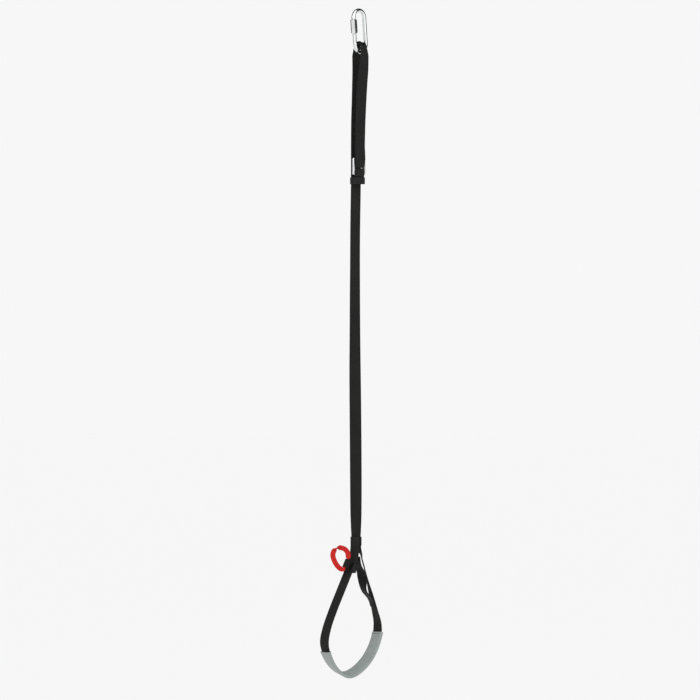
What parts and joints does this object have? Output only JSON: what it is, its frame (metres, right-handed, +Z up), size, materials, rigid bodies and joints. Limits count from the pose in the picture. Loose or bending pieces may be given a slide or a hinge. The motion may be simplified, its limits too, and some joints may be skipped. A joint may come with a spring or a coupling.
{
  "type": "adjustable foot loop",
  "caption": "Adjustable webbing foot loop that hangs from a rope grab by a screw link, with a three-bar buckle, a stiff grey foot sleeve and a pull ring that closes the throat.",
  "frame": {"origin": "hang point: the inside of the top bow of the quick link, where it sits in a rope grab's eye", "axes": "+Z up along the hanging strap, +X along the width of the quick link and of the foot loop, -Y on the side of the strap leg that ends in the buckle"},
  "size_m": [0.134, 0.0391, 1.1386],
  "materials": {
    "zinc_steel": "bright zinc plated steel",
    "buckle_steel": "polished steel",
    "main_webbing": "flat woven polyamide webbing, charcoal black",
    "throat_webbing": "thinner soft webbing, black",
    "black_thread": "bonded polyester thread",
    "moulded_black": "moulded polyamide, satin",
    "keeper_band": "soft moulded band",
    "sleeve_grey": "flexible vinyl tube, semi-matt grey",
    "stiffener": "polyethylene strip",
    "pull_tab_webbing": "folded thin tape, black",
    "red_tape": "tubular tape, red"
  },
  "bodies": {
    "link": {"link_body": "zinc_steel"},
    "nut": {"link_nut": "zinc_steel"},
    "sling": {"strap_fold": "main_webbing", "front_leg": "main_webbing", "back_leg": "main_webbing"},
    "loop": {"buckle_frame": "buckle_steel", "adjusting_end": "main_webbing", "tail_hem_stitching": "black_thread", "anchor_loop": "main_webbing", "strap_keeper": "keeper_band", "lower_strap": "main_webbing", "foot_strap": "main_webbing", "junction_stitching": "black_thread", "foot_sleeve": "sleeve_grey", "sole_stiffener": "stiffener", "sleeve_seam_left": "black_thread", "sleeve_seam_right": "black_thread", "throat_strap": "throat_webbing", "throat_stitching": "black_thread"},
    "slider": {"throat_slider": "moulded_black", "pull_tab": "pull_tab_webbing", "pull_tab_stitching": "black_thread"},
    "ring": {"pull_ring": "red_tape"}
  },
  "joints": [
    {"name": "nut_screw", "type": "slide", "parent": "link", "child": "nut", "axis": [0.0872, 0, -0.9962], "range_m": [0, 0.0195]},
    {"name": "sling_swing", "type": "hinge", "parent": "link", "child": "sling", "pos_m": [0.00392, 0, -0.06733], "axis": [1, 0, 0], "range_deg": [-75, 75]},
    {"name": "length_adjust", "type": "slide", "parent": "sling", "child": "loop", "axis": [0, 0, 1], "range_m": [-0.015, 0.12], "deforming": ["front_leg", "back_leg"]},
    {"name": "slider_slide", "type": "slide", "parent": "loop", "child": "slider", "axis": [-0.4991, 0, -0.8665], "range_m": [0, 0.035], "deforming": ["throat_strap"]},
    {"name": "ring_swing", "type": "hinge", "parent": "slider", "child": "ring", "pos_m": [-0.03376, -0.002, -0.93601], "axis": [0.4991, 0, 0.8665], "range_deg": [-50, 150]}
  ]
}
